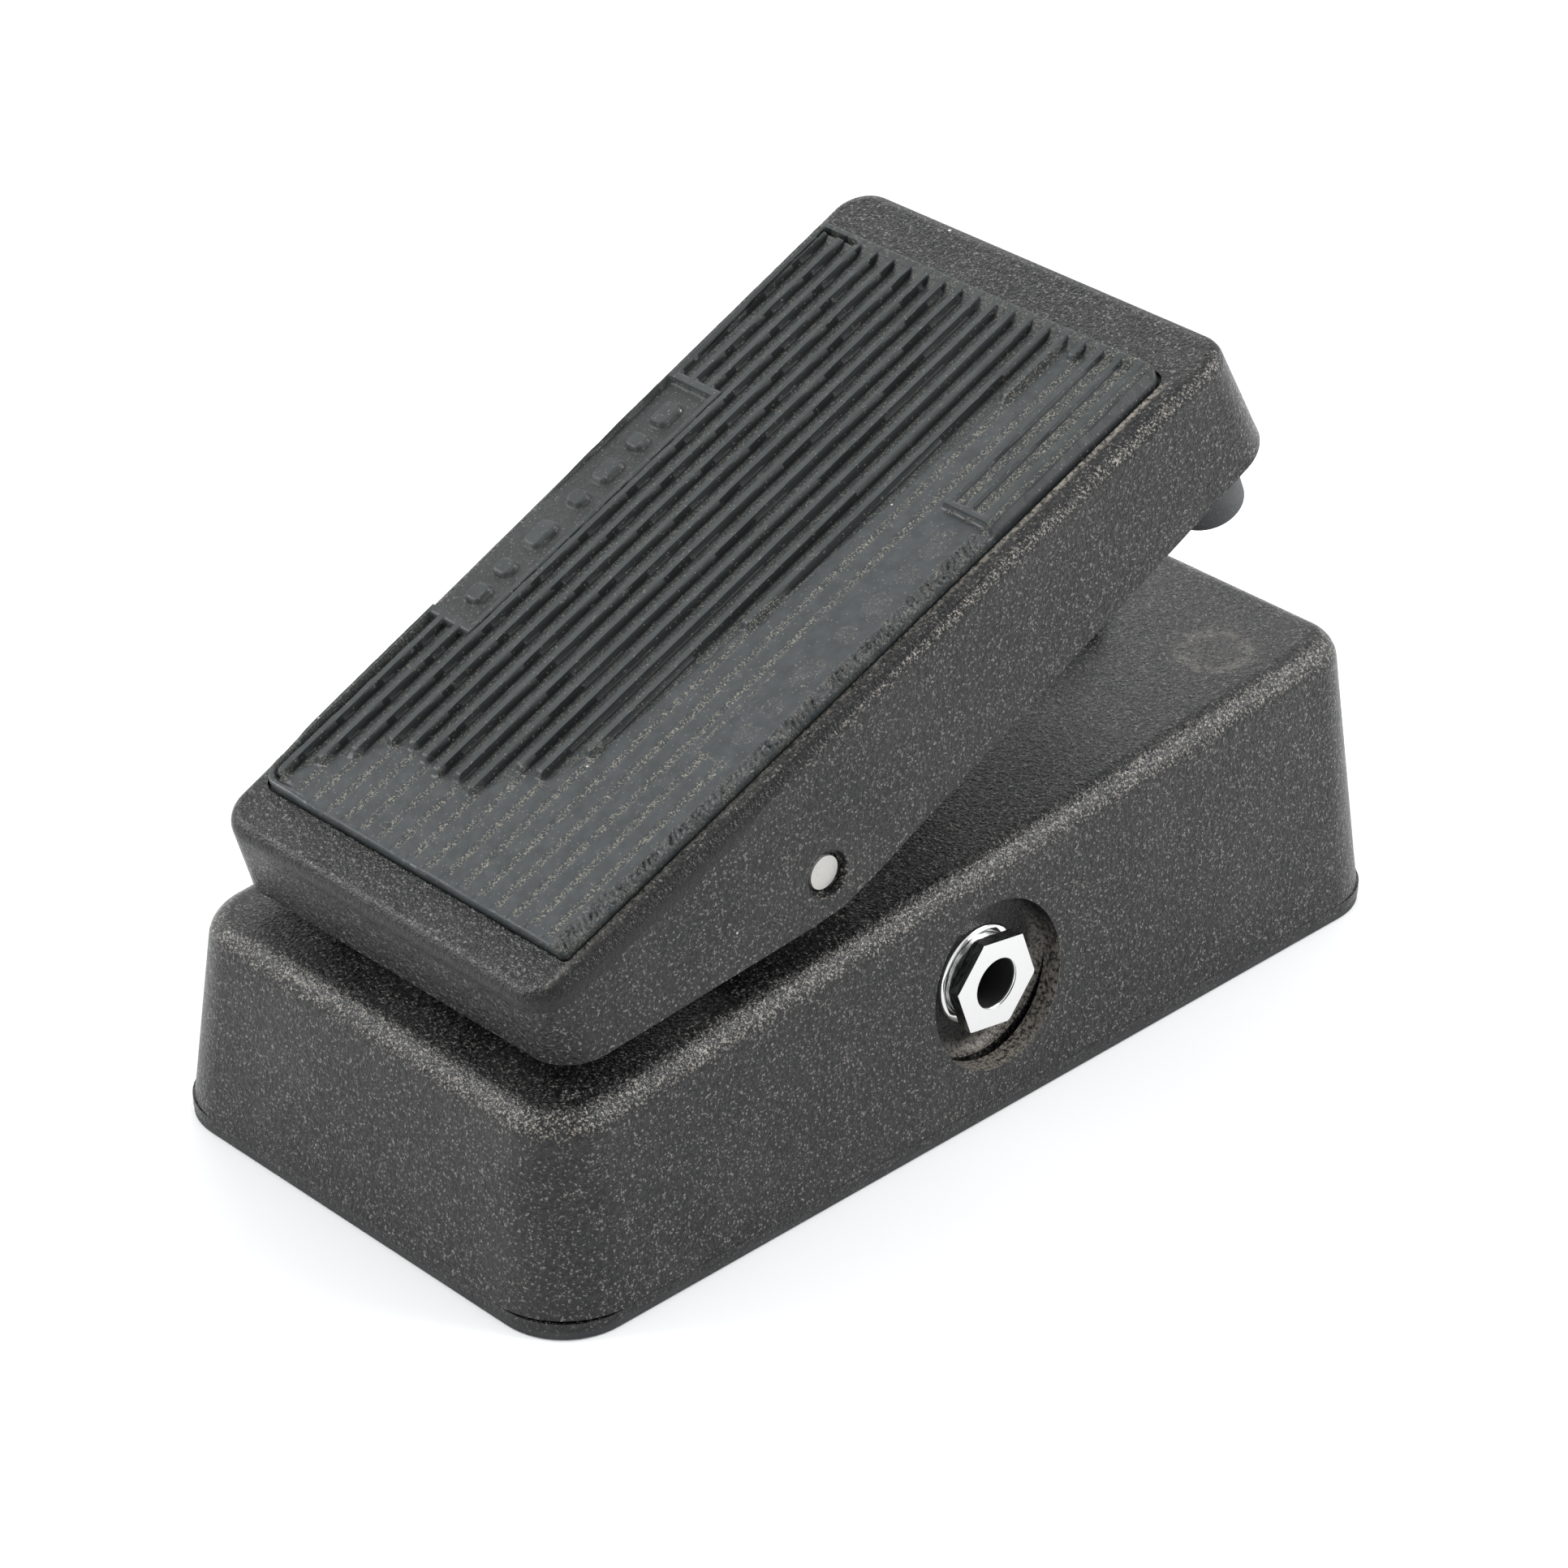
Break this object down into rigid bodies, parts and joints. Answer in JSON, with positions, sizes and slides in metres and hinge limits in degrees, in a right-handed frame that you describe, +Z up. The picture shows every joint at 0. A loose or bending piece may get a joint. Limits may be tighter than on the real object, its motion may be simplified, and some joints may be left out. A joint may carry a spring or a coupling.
{
  "type": "rocker effects pedal",
  "caption": "Small cast rocker pedal for guitar: ribbed treadle on a side-to-side pivot over a drafted base, with side jacks and a toe switch.",
  "frame": {"origin": "on the floor under the middle of the base", "axes": "+Z up, +Y towards the toe end, +X towards the input jack (the player's right)"},
  "size_m": [0.0746, 0.148, 0.0893],
  "materials": {
    "powder_coat": "fine-textured black powder coat, satin, worn",
    "mat_rubber": "moulded ribbed rubber, dusty and worn",
    "sole_rubber": "smooth black rubber sheet",
    "bumper_rubber": "smooth dark rubber",
    "bright_nickel": "bright nickel plate",
    "zinc_steel": "zinc-plated steel",
    "bright_steel": "ground steel pin",
    "black_plastic": "moulded black plastic",
    "natural_nylon": "natural nylon",
    "tinned_lugs": "tinned brass",
    "pot_case": "pressed metal can",
    "board_green": "green solder mask",
    "inductor_red": "red moulded bobbin",
    "film_orange": "dipped film capacitor",
    "can_blue": "sleeved can",
    "resistor_tan": "lacquered carbon film",
    "wire_red": "PVC wire cover"
  },
  "bodies": {
    "base": {"base_housing": "powder_coat", "bottom_plate": "powder_coat", "sole_pad": "sole_rubber", "plate_screws": "zinc_steel", "pivot_bushes": "natural_nylon", "tension_screw": "zinc_steel", "input_jack": "black_plastic", "input_jack_washer": "bright_nickel", "input_jack_nut": "bright_nickel", "output_jack": "black_plastic", "output_jack_washer": "bright_nickel", "output_jack_nut": "bright_nickel", "jack_lugs": "tinned_lugs", "power_jack": "black_plastic", "power_jack_pin": "tinned_lugs", "power_jack_nut": "zinc_steel", "footswitch_body": "bright_nickel", "footswitch_nuts": "bright_nickel", "footswitch_lugs": "tinned_lugs", "circuit_board": "board_green", "board_screws": "zinc_steel", "inductor": "inductor_red", "film_capacitors": "film_orange", "can_capacitors": "can_blue", "transistors": "black_plastic", "resistors": "resistor_tan", "wire_header": "natural_nylon", "pot_bracket": "zinc_steel", "bracket_screws": "zinc_steel", "pot_body": "pot_case", "pot_nut": "zinc_steel", "pot_lugs": "tinned_lugs", "rack_guide": "natural_nylon", "guide_screws": "zinc_steel", "harness_wires": "wire_red"},
    "treadle": {"treadle_shell": "powder_coat", "tread_mat": "mat_rubber", "pivot_shaft": "bright_steel", "toe_bumpers": "bumper_rubber", "heel_bumpers": "bumper_rubber", "bumper_screws": "zinc_steel", "switch_pad": "bumper_rubber", "rack_pin": "bright_steel", "pin_clips": "zinc_steel"},
    "rack": {"rack": "natural_nylon"},
    "pot_spindle": {"pot_shaft": "bright_steel", "pinion": "natural_nylon"},
    "plunger": {"switch_plunger": "bright_nickel"}
  },
  "joints": [
    {"name": "treadle_tilt", "type": "hinge", "parent": "base", "child": "treadle", "pos_m": [0, -0.0254, 0.0434], "axis": [-1, 0, 0], "range_deg": [0, 14.5]},
    {"name": "rack_slide", "type": "slide", "parent": "base", "child": "rack", "axis": [0, 0, -1], "range_m": [0, 0.0107]},
    {"name": "pinion_spin", "type": "hinge", "parent": "base", "child": "pot_spindle", "pos_m": [0, 0.02406, 0.0205], "axis": [1, 0, 0], "range_deg": [0, 127]},
    {"name": "switch_press", "type": "slide", "parent": "base", "child": "plunger", "axis": [0, 0, -1], "range_m": [0, 0.002], "stiffness_N_per_m": 2000, "springref_m": -0.003}
  ],
  "couplings": [
    {"joint": "rack_slide", "follows": "treadle_tilt", "m_per_rad": 0.041888},
    {"joint": "pinion_spin", "follows": "treadle_tilt", "ratio": 8.7267}
  ]
}
